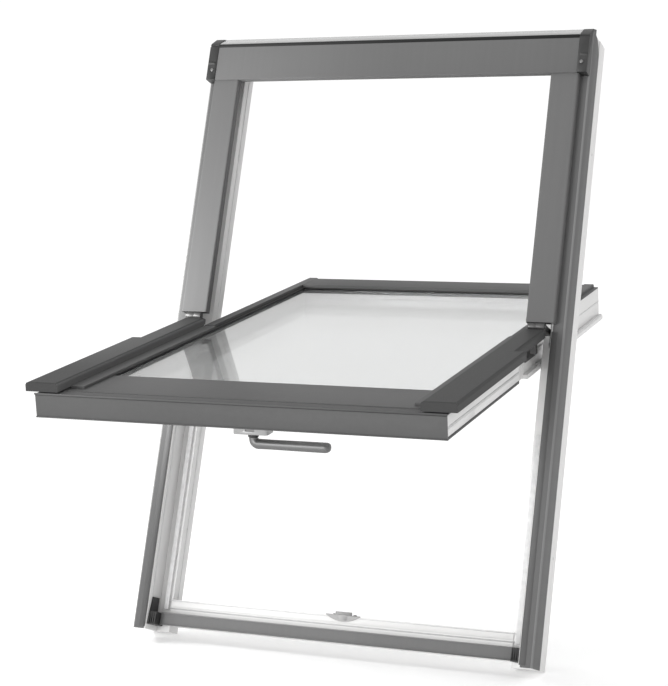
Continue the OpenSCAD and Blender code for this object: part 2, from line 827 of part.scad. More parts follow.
module case_outline() {
  difference() {
    translate([case_x[0], case_z[0]]) square([case_w, case_h]);
    for (x = [0, 1], z = [0, 1]) {
      corner = [x == 0 ? case_x[0] : case_x[1] - case_r, z == 0 ? case_z[0] : case_z[1] - case_r];
      centre = [x == 0 ? case_x[0] + case_r : case_x[1] - case_r,
                z == 0 ? case_z[0] + case_r : case_z[1] - case_r];
      difference() {
        translate(corner) square(case_r);
        translate(centre) circle(case_r);
      }
    }
  }
}

module case_holes(r) {
  for (side = [-1, 1]) rod_y(handle_x + side * case_screw_x, sash_back - 12, case_y[1] + over, handle_z, r);
}

// Case under the bottom rail, open downhill for the bolt
module lock_case() {
  room = 0.3;
  color(steel) opened() difference() {
    through(case_y[0], case_y[1]) case_outline();
    block([handle_x - bolt_w / 2 - room, handle_x + bolt_w / 2 + room],
          [bolt_y - room, bolt_y + bolt_t + room], [case_z[0] - over, handle_z + 12]);
    rod_y(handle_x, bolt_y + bolt_t, case_y[1] + over, handle_z, spindle_r + room);
    case_holes(keep_screw_r + fit);
  }
}

module case_screws() {
  color(steel) opened() for (side = [-1, 1]) {
    rod_y(handle_x + side * case_screw_x, sash_back - 10, case_y[1] + fit + over, handle_z, keep_screw_r);
    rod_y(handle_x + side * case_screw_x, case_y[1] + fit, case_y[1] + fit + head_h, handle_z, head_r);
  }
}

module lever() {
  grip_t = 18;
  grip_h = 20;
  tip_r = grip_h / 2;
  neck = 2;
  color(steel) opened() {
    rod_y(handle_x, bolt_y + bolt_t + 1, case_y[1] + over, handle_z, spindle_r);
    rod_y(handle_x, case_y[1] + 2 * fit, lever_y + over, handle_z, collar_r);
    rod_y(handle_x, lever_y, lever_y + grip_t, handle_z, tip_r);
    rod_y(handle_x + lever_l, lever_y + neck, lever_y + grip_t, handle_z, tip_r);
    block([handle_x, handle_x + lever_l], [lever_y + neck, lever_y + grip_t],
          [handle_z - tip_r, handle_z + tip_r]);
  }
}

module latch_bolt() {
  color(steel) opened() block([handle_x - bolt_w / 2, handle_x + bolt_w / 2],
    [bolt_y, bolt_y + bolt_t], [case_z[0] + 1, case_z[0] + 1 + bolt_h]);
}

// Drawing ------------------------------------------------------------------------------------

jamb("left");  // jamb_left
jamb("right");  // jamb_right
jamb_steel("left");  // jamb_steel_left
jamb_steel("right");  // jamb_steel_right
head_rail();
sill_rail();
side_trim("left");  // side_trim_left
side_trim("right");  // side_trim_right
upper_cover("left");  // upper_cover_left
upper_cover("right");  // upper_cover_right
cover_end("left");  // cover_end_left
cover_end("right");  // cover_end_right
hood();
hood_cap("left");  // hood_cap_left
hood_cap("right");  // hood_cap_right
hood_screws();
sill_cladding();
sill_block("left");  // sill_block_left
sill_block("right");  // sill_block_right
sill_keep();
keep_screws();
frame_gasket();
hinge_base("left");  // hinge_base_left
hinge_base("right");  // hinge_base_right
hinge_base_screws();
hinge_pins();
stile("left");  // stile_left
stile("right");  // stile_right
stile_steel("left");  // stile_steel_left
stile_steel("right");  // stile_steel_right
top_rail();
bottom_rail();
bottom_cladding();
lower_cover("left");  // lower_cover_left
lower_cover("right");  // lower_cover_right
cover_cap("left");  // cover_cap_left
cover_cap("right");  // cover_cap_right
upper_trim("left");  // upper_trim_left
upper_trim("right");  // upper_trim_right
top_trim();
pane(pane_y);  // outer_pane
pane(pane_y + pane_t + pane_gap);  // inner_pane
spacer_bars();
edge_seal();
outer_gasket();
inner_gasket();
setting_blocks();
flange_gasket();
hinge_arm("left");  // hinge_arm_left
hinge_arm("right");  // hinge_arm_right
hinge_arm_screws();
lock_case();
case_screws();
lever();
latch_bolt();
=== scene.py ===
# %% [markdown]
# # A roof window standing open
# The object is a centre-pivot roof window. A white plastic frame leans back as it would in a
# roof, grey aluminium sheets cover its weather side, and a glazed sash turns about a level axis
# near its middle. The construction comes from the packed model. What is added here is given in
# millimetres of the window as it was drawn, upright and shut, and then carried to its real place.
# Noise scales, bump depths, lamps and camera are in metres, as Blender has them.

# %% Load the fixed frame
import json
import math

import bmesh
import bpy
from mathutils import Matrix, Vector

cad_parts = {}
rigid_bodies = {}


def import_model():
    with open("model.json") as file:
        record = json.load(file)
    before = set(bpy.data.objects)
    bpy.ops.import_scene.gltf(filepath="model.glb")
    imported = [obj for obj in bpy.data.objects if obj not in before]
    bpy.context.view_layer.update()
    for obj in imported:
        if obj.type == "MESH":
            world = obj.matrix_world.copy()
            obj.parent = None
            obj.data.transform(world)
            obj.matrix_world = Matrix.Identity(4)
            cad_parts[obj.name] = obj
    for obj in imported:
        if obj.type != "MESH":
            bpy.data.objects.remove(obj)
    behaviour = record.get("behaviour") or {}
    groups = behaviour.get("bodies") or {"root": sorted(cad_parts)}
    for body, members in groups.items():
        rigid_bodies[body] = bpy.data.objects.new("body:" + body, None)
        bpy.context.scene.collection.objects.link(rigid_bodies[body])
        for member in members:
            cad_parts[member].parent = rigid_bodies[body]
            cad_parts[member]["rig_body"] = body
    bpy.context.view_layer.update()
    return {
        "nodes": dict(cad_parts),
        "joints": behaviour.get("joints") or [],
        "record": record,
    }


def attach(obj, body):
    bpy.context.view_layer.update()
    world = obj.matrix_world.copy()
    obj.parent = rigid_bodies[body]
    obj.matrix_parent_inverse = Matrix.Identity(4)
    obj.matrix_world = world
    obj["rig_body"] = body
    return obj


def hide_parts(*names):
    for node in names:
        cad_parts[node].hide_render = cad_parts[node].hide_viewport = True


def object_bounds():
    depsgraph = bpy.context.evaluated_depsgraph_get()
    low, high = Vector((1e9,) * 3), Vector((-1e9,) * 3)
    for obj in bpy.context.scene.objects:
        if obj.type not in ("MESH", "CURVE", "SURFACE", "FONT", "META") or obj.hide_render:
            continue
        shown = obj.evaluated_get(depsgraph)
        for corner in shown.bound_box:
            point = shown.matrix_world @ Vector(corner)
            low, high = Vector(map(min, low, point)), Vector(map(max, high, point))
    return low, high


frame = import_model()
NODES = frame["nodes"]
BODY_OF = {node: obj["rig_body"] for node, obj in NODES.items()}

# %% [markdown]
# ## Two tilted work planes
# The window is easiest to describe as it was drawn: frame upright, sash shut, z up the slope and
# y going indoors. The record's joints and mounts say how far the frame leans and the sash stands
# open, so two matrices carry any point from the drawn pose to its real place.

# %% Matrices from the drawn pose to the real one
MM = 0.001
mount = {m["name"]: m for m in frame["record"]["mounts"]}
joint = {j["name"]: j for j in frame["joints"]}
frame_up = -Vector(mount["sill_seat"]["axis"])
sash_up = -Vector(joint["latch_slide"]["axis"])
PIVOT = Vector(joint["sash_pivot"]["pos_m"])
LEAN = math.atan2(frame_up.y, frame_up.z)
LEAN_OPEN = math.atan2(sash_up.y, sash_up.z)
# The drawn place of the sill's seat, which is where the real one has its origin.
SEAT = Vector((0, 68, 12)) * MM

frame_turn = Matrix.Rotation(-LEAN, 4, "X")
FRAME_PLACE = frame_turn @ Matrix.Translation(-SEAT)
drawn_pivot = FRAME_PLACE.inverted() @ PIVOT
SASH_PLACE = (
    Matrix.Translation(PIVOT)
    @ Matrix.Rotation(-LEAN_OPEN, 4, "X")
    @ Matrix.Translation(-drawn_pivot)
)
PLACE = {"frame": FRAME_PLACE, "sash": SASH_PLACE, "handle": SASH_PLACE, "latch": SASH_PLACE}
TILT = {"frame": LEAN, "sash": LEAN_OPEN, "handle": LEAN_OPEN, "latch": LEAN_OPEN}
print("lean %.1f, sash %.1f degrees" % (math.degrees(LEAN), math.degrees(LEAN_OPEN)))

# %% The box of a node in its drawn pose
def drawn_box(node):
    """Lowest and highest corner of a CAD node in its drawn pose, in mm."""
    back = PLACE[BODY_OF[node]].inverted()
    points = [(back @ v.co) / MM for v in NODES[node].data.vertices]
    low = Vector([min(p[i] for p in points) for i in range(3)])
    high = Vector([max(p[i] for p in points) for i in range(3)])
    return low, high


for corner in drawn_box("sill_rail"):
    print("sill rail corner", [round(value, 1) for value in corner])

# %% [markdown]
# ## Shader maths as Python
# A material is a net of nodes, and each one could be made and linked by hand. Wrapping a socket
# in a small class lets the net be written as sums and products instead, which reads like the
# formula that it is.

# %% A field is a value or colour on its way through the nodes
class Field:
    """One output socket of a material's tree, with the usual operators."""

    def __init__(self, tree, socket):
        self.tree = tree
        self.socket = socket

    def node(self, kind, settings=None, inputs=None, output=0):
        """Another node of the same tree."""
        return add_node(self.tree, kind, settings, inputs, output)

    def maths(self, operation, *values):
        """A Math node on fields or numbers."""
        inputs = dict(enumerate(values))
        return self.node("ShaderNodeMath", {"operation": operation}, inputs)

    def __add__(self, other):
        return self.maths("ADD", self, other)

    def __radd__(self, other):
        return self.maths("ADD", other, self)

    def __sub__(self, other):
        return self.maths("SUBTRACT", self, other)

    def __rsub__(self, other):
        return self.maths("SUBTRACT", other, self)

    def __mul__(self, other):
        return self.maths("MULTIPLY", self, other)

    def __rmul__(self, other):
        return self.maths("MULTIPLY", other, self)

    def __lt__(self, other):
        return self.maths("LESS_THAN", self, other)

    def __gt__(self, other):
        return self.maths("GREATER_THAN", self, other)

    def to_nearest(self, pitch):
        """Distance to the nearest of a row of marks that stand a pitch apart."""
        return self.maths("PINGPONG", self, pitch / 2)

    def ramp(self, low, high):
        """0 below low, 1 above high, and a smooth rise between."""
        settings = {"interpolation_type": "SMOOTHSTEP"}
        inputs = {"Value": self, "From Min": low, "From Max": high}
        return self.node("ShaderNodeMapRange", settings, inputs)

    def blend(self, first, second):
        """The first colour where the field is 0 and the second where it is 1."""
        settings = {"data_type": "RGBA"}
        inputs = {"Factor": self, 6: first, 7: second}
        return self.node("ShaderNodeMix", settings, inputs, output=2)


def add_node(tree, kind, settings=None, inputs=None, output=0):
    """Adds a node, sets its settings first, then gives its sockets values or links."""
    made = tree.nodes.new(kind)
    for key, value in (settings or {}).items():
        setattr(made, key, value)
    for key, value in (inputs or {}).items():
        socket = made.inputs[key]
        if isinstance(value, Field):
            tree.links.new(value.socket, socket)
        else:
            socket.default_value = value
    return Field(tree, made.outputs[output])


print("operators ready:", [name for name in vars(Field) if name.startswith("__r")])

# %% [markdown]
# ## What every material starts from
# Nothing on a real window is one flat colour. Images could bring the variation in, but noise
# needs no file and has any scale. In object coordinates it stays fixed to a piece when its joint
# turns, and the coordinates are turned back to the drawn pose first, so that the streaks of an
# extrusion die run along the long side bars although they lean.

# %% Coordinates, noise and the shared start of a material
class Finish:
    """A new material with a Principled shader and helpers for what varies over it."""

    def __init__(self, name, tilt=0.0):
        self.material = bpy.data.materials.new(name)
        self.material.use_nodes = True
        self.tree = self.material.node_tree
        self.shader = self.tree.nodes["Principled BSDF"]
        raw = add_node(self.tree, "ShaderNodeTexCoord", output="Object")
        turned = {"Vector": raw, "Angle": tilt}
        self.place = add_node(
            self.tree, "ShaderNodeVectorRotate", {"rotation_type": "X_AXIS"}, turned
        )

    def put(self, **inputs):
        """Sets or links the shader's sockets, with _ for a space in their names."""
        for key, value in inputs.items():
            socket = self.shader.inputs[key.replace("_", " ")]
            if isinstance(value, Field):
                self.tree.links.new(value.socket, socket)
            else:
                socket.default_value = value
        return self

    def noise(self, scale, detail=3.0, stretch=(1, 1, 1)):
        """Noise fixed to the piece; a stretch below 1 draws it out along that axis."""
        scaled = add_node(
            self.tree,
            "ShaderNodeVectorMath",
            {"operation": "MULTIPLY"},
            {0: self.place, 1: stretch},
        )
        inputs = {"Vector": scaled, "Scale": scale, "Detail": detail}
        return add_node(self.tree, "ShaderNodeTexNoise", None, inputs)

    def axis(self, letter):
        """The drawn X, Y or Z of a point on the piece, in metres."""
        inputs = {"Vector": self.place}
        return add_node(self.tree, "ShaderNodeSeparateXYZ", None, inputs, letter)

    def bump(self, height, distance, strength=1.0):
        """Lets a height field tilt the surface's normal."""
        inputs = {"Height": height, "Distance": distance, "Strength": strength}
        made = add_node(self.tree, "ShaderNodeBump", None, inputs)
        return self.put(Normal=made)


def tone(value, warm=0.0):
    """A neutral linear colour, a little warmer for warm above 0."""
    return (value * (1 + warm), value, value * (1 - warm), 1.0)


print("a mid grey:", tone(0.18))

# %% [markdown]
# ## White plastic
# The bars are extruded PVC with a smooth half-gloss skin. A plain white shader looks like paper.
# What makes it plastic is slight: long soft waves from the die, a faint change of tone, and
# tiny grain in the gloss, so three noises of very different size are enough.

# %% White PVC
def white_pvc(name, tilt):
    """Extruded white plastic with die lines up the window."""
    made = Finish(name, tilt)
    waves = made.noise(60, 2, (1, 1, 0.04))
    cloud = made.noise(7, 3)
    grain = made.noise(900, 2)
    colour = (cloud * 0.6 + waves * 0.4).blend(tone(0.66, 0.004), tone(0.72, 0.008))
    made.put(Base_Color=colour, Roughness=0.3 + grain * 0.12)
    made.put(Coat_Weight=0.08, Coat_Roughness=0.15, Specular_IOR_Level=0.45)
    made.bump(waves * 0.5 + grain * 0.04, 0.00025, 0.5)
    return made


print("white plastic is ready")

# %% [markdown]
# ## Grey powder coat
# The covers are folded aluminium with a baked powder coat. One flat grey would pass from across
# a street. Up close such a coat has a fine orange peel, and over a long sheet its tone drifts a
# little. Both come from noise, one as bump and one as colour. The coat is matt, so its flat
# faces mirror next to nothing. Its folds are painted paler, a painted highlight, and the hood's
# sloping top is painted lighter still, a painted reflection of the sky under a glossy clear coat.

# %% Powder-coated aluminium
def powder_grey(name, tilt, value=0.118):
    """Matt grey powder coat, of a given mean tone."""
    made = Finish(name, tilt)
    peel = made.noise(650, 2)
    drift = made.noise(3, 2, (1, 1, 0.4))
    streak = made.noise(120, 2, (1, 1, 0.03))
    colour = (drift * 0.7 + streak * 0.3).blend(tone(value * 0.86), tone(value * 1.16))
    made.put(Base_Color=colour, Roughness=0.46 + peel * 0.16)
    made.put(Specular_IOR_Level=0.12)
    made.bump(peel * 0.5 + streak * 0.3, 0.00012, 0.6)
    return made


def toned(maker, value):
    """A finish made like another, with its own tone."""
    return lambda name, tilt: maker(name, tilt, value)


def painted_fold_highlight(name, tilt):
    """The coat at a fold, painted paler as a painted highlight, and a little smoother."""
    # Painted highlight: a paler tone than the plain coat.
    made = powder_grey(name, tilt, 0.2)
    worn = made.noise(220, 3)
    made.put(Roughness=0.36 + worn * 0.2)
    return made


def painted_sky_reflection(name, tilt):
    """The coat on top of the hood, painted lighter as a painted reflection of the sky, under a
    clear coat that mirrors it as well.
    """
    # Painted reflection: a lighter tone than the plain coat; the clear coat adds a real one.
    made = powder_grey(name, tilt, 0.3)
    made.put(Coat_Weight=1.0, Coat_Roughness=0.08)
    return made


print("powder coats are ready")

# %% [markdown]
# ## Black plastic, rubber and steel
# Moulded end pieces have a spark-eroded grain. Seals are duller and finely ribbed.
# Hinges and screws are zinc plated, with a brushed trace and a cloudy plating, and the handle is
# blasted and satin coated. They could share one dark material, but each scatters light in its
# own way, and on small parts that is most of what the eye has to go by.

# %% Small-part materials
def black_plastic(name, tilt):
    """Moulded plastic with the fine grain of its tool."""
    made = Finish(name, tilt)
    grain = made.noise(1400, 3)
    worn = made.noise(40, 3)
    made.put(Base_Color=worn.blend(tone(0.012), tone(0.026)), Roughness=0.42 + grain * 0.2)
    made.bump(grain, 0.00008, 0.6)
    return made


def seal_rubber(name, tilt, value=0.02):
    """Dull rubber with fine ribs up the window, of a given tone."""
    made = Finish(name, tilt)
    dust = made.noise(90, 4)
    ribs = made.noise(400, 1, (1, 1, 0.05))
    made.put(Base_Color=dust.blend(tone(value), tone(value * 1.6)), Roughness=0.6 + dust * 0.2)
    made.bump(ribs, 0.0001, 0.5)
    return made


def zinc_steel(name, tilt, value=0.2):
    """Zinc-plated steel, cloudy and lightly brushed."""
    made = Finish(name, tilt)
    cloud = made.noise(130, 4)
    brush = made.noise(500, 2, (0.05, 1, 1))
    made.put(Base_Color=cloud.blend(tone(value * 0.85), tone(value * 1.1, 0.01)))
    made.put(Metallic=0.8, Roughness=0.4 + cloud * 0.16)
    made.bump(brush, 0.00005, 0.4)
    return made


def satin_alloy(name, tilt, value=0.15):
    """Die-cast metal with a blasted satin coat."""
    made = Finish(name, tilt)
    blast = made.noise(1200, 2)
    cloud = made.noise(25, 2)
    made.put(Base_Color=cloud.blend(tone(value * 0.92), tone(value * 1.05)))
    made.put(Metallic=0.6, Roughness=0.38 + blast * 0.12)
    made.bump(blast, 0.00004, 0.5)
    return made


print("small-part finishes are ready")

# %% [markdown]
# ## Glass and its edge
# Each pane is a solid of clear glass. A see-through sheet with a painted reflection would be
# cheaper, but it is wrong from behind. Real glass seen almost along its face mirrors the pale
# room more than it lets through, which the shader's own Fresnel gives. The spacer between the
# panes is mill aluminium with a row of small pressed holes for the drying beads behind it.

# %% Glass and spacer
def clear_glass(name, tilt):
    """Float glass with the faintest film on it."""
    made = Finish(name, tilt)
    film = made.noise(5, 3)
    made.put(Base_Color=film.blend((0.792, 0.798, 0.796, 1), (0.825, 0.83, 0.828, 1)))
    made.put(Roughness=0.02 + film * 0.03, IOR=1.37, Transmission_Weight=1.0)
    made.put(Specular_IOR_Level=0.15)
    return made


def spacer_metal(name, tilt, pitch=0.004):
    """Mill aluminium with small square holes a pitch apart, in metres."""
    made = Finish(name, tilt)
    hole = pitch * 0.14
    pressed = (made.axis("X").to_nearest(pitch) < hole) * (made.axis("Z").to_nearest(pitch) < hole)
    made.put(Base_Color=pressed.blend(tone(0.5), tone(0.05)), Metallic=1.0)
    made.put(Roughness=0.35 + made.noise(200, 2) * 0.15)
    return made


print("glass and spacer are ready")

# %% [markdown]
# ## Giving the materials out
# Each material could be assigned where its piece is made, but then no one sees them side by
# side, so a dictionary keeps the choice in one place. Frame and sash lean by different angles,
# and each finish exists once for either. One coat comes in several tones. The sash's sheets are
# a little darker than the frame's, and the sill's fascia a little lighter. The lower covers are
# painted much darker, painted shade for the dim light on their tops, and the darkest tone is a
# painted shadow at the hood's rim. The trim tone is painted shade along the trims' inner edges,
# the fold tone a painted highlight and the sky tone a painted reflection. The pale tone is the
# gaskets' own and also painted shade in lines on the white bars, and the line tone is painted
# shade as well.

# %% One set of finishes for each lean
FINISHES = {
    "white": white_pvc,
    "grey": powder_grey,
    "deep": toned(powder_grey, 0.095),
    # Painted shade: the lower covers' much darker tone.
    "cover": toned(powder_grey, 0.047),
    # Painted shadow: near black, for the groove at the hood's rim.
    "rim": toned(powder_grey, 0.02),
    # Painted shade along the trims' inner edges.
    "trim_fold": toned(powder_grey, 0.115),
    "sill": toned(powder_grey, 0.145),
    # Painted highlight on folds and rounded edges.
    "fold": painted_fold_highlight,
    # Painted reflection of the sky on the hood's top.
    "sky": painted_sky_reflection,
    # The gaskets' own tone, and also painted shade in lines on the white bars.
    "pale": toned(seal_rubber, 0.5),
    "keep": toned(zinc_steel, 0.24),
    "hinge": toned(zinc_steel, 0.1),
    # Painted shade in grooves and lines on the white bars.
    "line": toned(seal_rubber, 0.42),
    "black": black_plastic,
    "rubber": seal_rubber,
    "steel": zinc_steel,
    "alloy": satin_alloy,
    "case": toned(satin_alloy, 0.36),
    "glass": clear_glass,
    "spacer": spacer_metal,
}
made_finishes = {}


def finish_of(kind, body):
    """The finish for a body, made the first time it is asked for."""
    lean_name = "frame" if body == "frame" else "sash"
    key = kind + "_" + lean_name
    if key not in made_finishes:
        made_finishes[key] = FINISHES[kind](key, TILT[lean_name]).material
    return made_finishes[key]


SLOT_KIND = {
    "white_pvc": "white",
    "grey_aluminium": "grey",
    "steel": "steel",
    "black_plastic": "black",
    "rubber": "rubber",
    "glass": "glass",
    "spacer": "spacer",
    "handle_metal": "alloy",
}
SLOT_OF = {s["node"]: s["material_slot"] for s in frame["record"]["subparts"]}
NODE_KIND = {
    "frame_gasket": "pale",
    "flange_gasket": "pale",
    "sill_keep": "keep",
    "sill_cladding": "sill",
    "lock_case": "case",
    # Painted shade: the lower covers take a much darker grey than the frame's, for the dim light
    # on their tops.
    "lower_cover_left": "cover",
    "lower_cover_right": "cover",
}


def kind_of(node):
    """The finish of a node: its slot's, save for a few that differ from their slot's fellows."""
    if node in NODE_KIND:
        return NODE_KIND[node]
    kind = SLOT_KIND[SLOT_OF[node]]
    if node.startswith("hinge_") and kind == "steel":
        return "hinge"
    return "deep" if kind == "grey" and BODY_OF[node] == "sash" else kind


def dress(obj, node, extra=()):
    """Gives a piece the finish of a CAD node, then any further finishes in order."""
    obj.data.materials.clear()
    for kind in (kind_of(node), *extra):
        obj.data.materials.append(finish_of(kind, BODY_OF[node]))


for node, obj in NODES.items():
    dress(obj, node)
print("finishes in use:", len(made_finishes))

# %% [markdown]
# ## Real edges
# A CAD edge is a perfect corner, and no folded sheet or extruded bar has one. A shader could
# fake the rounding, but only geometry survives an export. So each visible node is rebuilt as a
# clean mesh: shared corners are welded, the flat faces lose their triangles, and a small bevel
# runs along every sharp edge, so edges catch a thin line of light.

# %% Helpers that build and finish a mesh
SHARP = math.radians(28)
FLAT = math.radians(0.5)
WELD = 1e-6


def placed_mesh(work, name, body):
    """Carries drawn millimetres to a body's real place and keeps them as a mesh."""
    work.transform(PLACE[body] @ Matrix.Diagonal((MM, MM, MM, 1)))
    mesh = bpy.data.meshes.new(name)
    work.to_mesh(mesh)
    work.free()
    return mesh


def smooth(mesh):
    """Shades every face smoothly."""
    for face in mesh.polygons:
        face.use_smooth = True


def join_rings(work, rings):
    """Spans neighbouring rings of vertices with four-sided faces."""
    count = len(rings[0])
    for first, second in zip(rings, rings[1:]):
        for i in range(count):
            j = (i + 1) % count
            work.faces.new((first[i], first[j], second[j], second[i]))


def clean_mesh(node):
    """A welded copy of a node's mesh with flat faces in place of triangles."""
    mesh = NODES[node].data.copy()
    work = bmesh.new()
    work.from_mesh(mesh)
    bmesh.ops.remove_doubles(work, verts=work.verts, dist=WELD)
    bmesh.ops.dissolve_limit(work, angle_limit=FLAT, verts=work.verts, edges=work.edges)
    work.to_mesh(mesh)
    work.free()
    return mesh


print("edges sharper than %.0f degrees are rounded" % math.degrees(SHARP))

# %% Put a piece in the scene, plain or with rounded edges
def add_piece(name, mesh, node, extra=(), stands_for=True):
    """Puts a piece in the scene on the body, and in the slot, of a CAD node."""
    piece = bpy.data.objects.new(name, mesh)
    bpy.context.scene.collection.objects.link(piece)
    dress(piece, node, extra)
    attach(piece, BODY_OF[node])
    if stands_for:
        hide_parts(node)
    return piece


def rounded(node, width, extra=(), edge_slot=-1):
    """A piece that stands for a CAD node, its sharp edges rounded by width mm."""
    piece = add_piece(node + "_edged", clean_mesh(node), node, extra)
    smooth(piece.data)
    bevel = piece.modifiers.new("edges", "BEVEL")
    bevel.width = width * MM
    bevel.segments = 2
    bevel.limit_method = "ANGLE"
    bevel.angle_limit = SHARP
    bevel.harden_normals = True
    bevel.material = edge_slot
    return piece


print("pieces can ride on", sorted(PLACE))

# %% Bars and fittings, by the width of their rounding in mm
EDGE = {
    1.2: ["jamb_left", "jamb_right", "head_rail", "sill_rail"],
    1.1: ["stile_left", "stile_right", "top_rail", "bottom_rail"],
    0.4: ["sill_cladding", "upper_trim_left", "upper_trim_right", "top_trim", "sill_keep"],
    0.9: ["hood_cap_left", "hood_cap_right", "cover_end_left", "cover_end_right"],
    0.6: ["cover_cap_left", "cover_cap_right", "sill_block_left", "sill_block_right"],
    0.8: ["hinge_base_left", "hinge_base_right", "hinge_arm_left", "hinge_arm_right"],
    0.7: ["frame_gasket", "flange_gasket", "outer_gasket"],
    1.5: ["lock_case"],
}
for width, names in EDGE.items():
    for name in names:
        rounded(name, width)
print("rounded", sum(len(names) for names in EDGE.values()), "nodes")

# %% [markdown]
# ## Sheets with a painted highlight on the fold
# The side trims, the hood and the rail cladding keep their CAD shape. What changes is the colour
# painted where the sheet is bent. A mask could be painted, but a face's own direction says
# enough: faces that point between two sides of a fold take the paler finish, a painted
# highlight, and the hood's sloping top takes a lighter one, a painted reflection of the sky. The
# rail cladding's rounded edges take the painted highlight too.

# %% Mark faces by the way they point in the drawn pose
HANDS = {"left": -1, "right": 1}


def mark_faces(piece, node, rule, slot=1):
    """Gives a finish slot to the faces whose drawn normal passes a rule."""
    turn = PLACE[BODY_OF[node]].inverted().to_3x3()
    marked = [f for f in piece.data.polygons if rule((turn @ f.normal).normalized())]
    for face in marked:
        face.material_index = slot
    return len(marked)


def on_outer_fold(normal):
    """True between the front of a side trim and its flank."""
    return abs(normal.x) > 0.12 and normal.y < -0.12


def on_hood_top(normal):
    """True on the hood's sloping top."""
    return normal.z > 0.6 and normal.y < -0.2


# The trims' outer folds take the paler finish, a painted highlight.
for side in HANDS:
    trim = rounded("side_trim_" + side, 0.4, extra=["fold"])
    print(trim.name, mark_faces(trim, "side_trim_" + side, on_outer_fold), "fold faces")
# The hood's sloping top takes a lighter finish, a painted reflection of the sky.
hood = rounded("hood", 0.5, extra=["sky"])
print("hood", mark_faces(hood, "hood", on_hood_top), "sky faces")
# The cladding's rounded edges take the paler finish, a painted highlight.
rounded("bottom_cladding", 0.6, extra=["fold"], edge_slot=1)

# %% [markdown]
# ## Folded covers
# Each cover is one sheet bent down at its rims. The CAD solid could be bevelled like the bars,
# but a folded sheet has an even thickness and a soft crease, so it is made as the workshop
# makes it: a flat outline is given walls, its upper rim is creased as a press brake leaves it,
# and the skin is given the sheet's thickness inward. Ends that hold a plastic plug stay open.

# %% Build a folded sheet from its outline
SHEET = 1.5


def skin_of(outline, top, foot, open_edges, fold):
    """A flat top with walls down to foot and a creased rim; outline is (x, z) points in mm."""
    work = bmesh.new()
    upper = [work.verts.new((x, top, z)) for x, z in outline]
    lower = [work.verts.new((x, foot, z)) for x, z in outline]
    face = work.faces.new(upper)
    count = len(outline)
    rims = []
    for i in range(count):
        if i in open_edges:
            continue
        j = (i + 1) % count
        work.faces.new((upper[i], lower[i], lower[j], upper[j]))
        rims.append(work.edges.get((upper[i], upper[j])))
    bmesh.ops.recalc_face_normals(work, faces=work.faces)
    if face.normal.y > 0:
        bmesh.ops.reverse_faces(work, faces=work.faces)
    # The crease takes slot 1, the paler fold finish: a painted highlight.
    bmesh.ops.bevel(
        work, geom=rims, offset=fold, segments=2, profile=0.5, affect="EDGES", material=1
    )
    return work


def folded_cover(name, node, outline, top, foot, open_edges, fold):
    """A cover piece of sheet thickness made from its outer skin."""
    work = skin_of(outline, top, foot, open_edges, fold)
    # Slot 1 is the paler fold finish, a painted highlight on the crease.
    piece = add_piece(name, placed_mesh(work, name, BODY_OF[node]), node, ["fold"])
    solid = piece.modifiers.new("sheet", "SOLIDIFY")
    solid.thickness = SHEET * MM
    solid.offset = -1
    solid.use_even_offset = True
    return piece


print("sheet %.1f mm thick" % SHEET)

# %% [markdown]
# ## The upper covers
# On the real window these two are plain channels over the frame's side bars, open at both ends
# under the hood and over the hinge. Their outline is the box of the CAD node, so only the fold
# and the depth of the walls are given here.

# %% Upper covers
WALL_FOOT = -1.5
UPPER_FOLD = 2.6


def cover_limits(node):
    """Inner and outer distance from the window's middle, foot, top and front face, in mm."""
    low, high = drawn_box(node)
    inner, outer = sorted((abs(low.x), abs(high.x)))
    return inner, outer, low.z, high.z, low.y


def upright(hand, inner, outer, foot, top):
    """The four corners of an upright sheet on one side of the window."""
    return [(hand * x, z) for x, z in ((inner, foot), (outer, foot), (outer, top), (inner, top))]


def upper_cover(side):
    """The channel over one side of the frame above its hinge."""
    node = "upper_cover_" + side
    inner, outer, foot, top, face = cover_limits(node)
    outline = upright(HANDS[side], inner, outer, foot, top)
    return folded_cover(node + "_folded", node, outline, face, WALL_FOOT, [0, 2], UPPER_FOLD)


print("upper cover limits", [round(value, 1) for value in cover_limits("upper_cover_right")])

# %% [markdown]
# ## The lower covers
# These ride on the sash. Each is a broad plate, notched where it passes the hinge, with a lower
# step beside the glass. One sheet with both levels is hard to crease evenly, so plate and step
# are two sheets that meet under the plate's inner wall.

# %% Lower covers
PLATE_FOLD = 4.2
NOTCH_UP = 376
NOTCH_X = 361
STEP_FACE = -3
STEP_FOOT = 1.8
STEP_WIDE = 25.5
STEP_START = 46
STEP_LAP = 1
STEP_FOLD = 1.4


def lower_plate(side):
    """The broad sheet of a lower cover; its inner wall is painted lighter, painted light that
    lifts the shade on it.
    """
    node = "lower_cover_" + side
    hand = HANDS[side]
    inner, outer, foot, top, face = cover_limits(node)
    inner = inner + STEP_WIDE
    notch = foot + NOTCH_UP
    wide_end = ((inner, foot), (outer, foot), (outer, notch))
    narrow_end = ((NOTCH_X, notch), (NOTCH_X, top), (inner, top))
    outline = [(hand * x, z) for x, z in wide_end + narrow_end]
    plate = folded_cover(node + "_plate", node, outline, face, WALL_FOOT, [4], PLATE_FOLD)
    # Painted light: a lighter grey on the inner wall, against the shade that falls there.
    plate.data.materials.append(finish_of("grey", "sash"))
    mark_faces(plate, node, lambda normal: normal.x * hand < -0.8, slot=2)
    return plate


def lower_step(side):
    """The low sheet between a plate and the glass."""
    node = "lower_cover_" + side
    inner, outer, foot, top, face = cover_limits(node)
    far = inner + STEP_WIDE + STEP_LAP
    outline = upright(HANDS[side], inner, far, foot + STEP_START, top)
    step = folded_cover(node + "_bead", node, outline, STEP_FACE, STEP_FOOT, [1, 2], STEP_FOLD)
    # Painted light: the step takes a lighter grey than the plate, against the shade under the
    # plate's wall.
    step.data.materials[0] = finish_of("deep", "sash")
    return step


for side in HANDS:
    for make in (upper_cover, lower_plate, lower_step):
        print("folded", make(side).name)

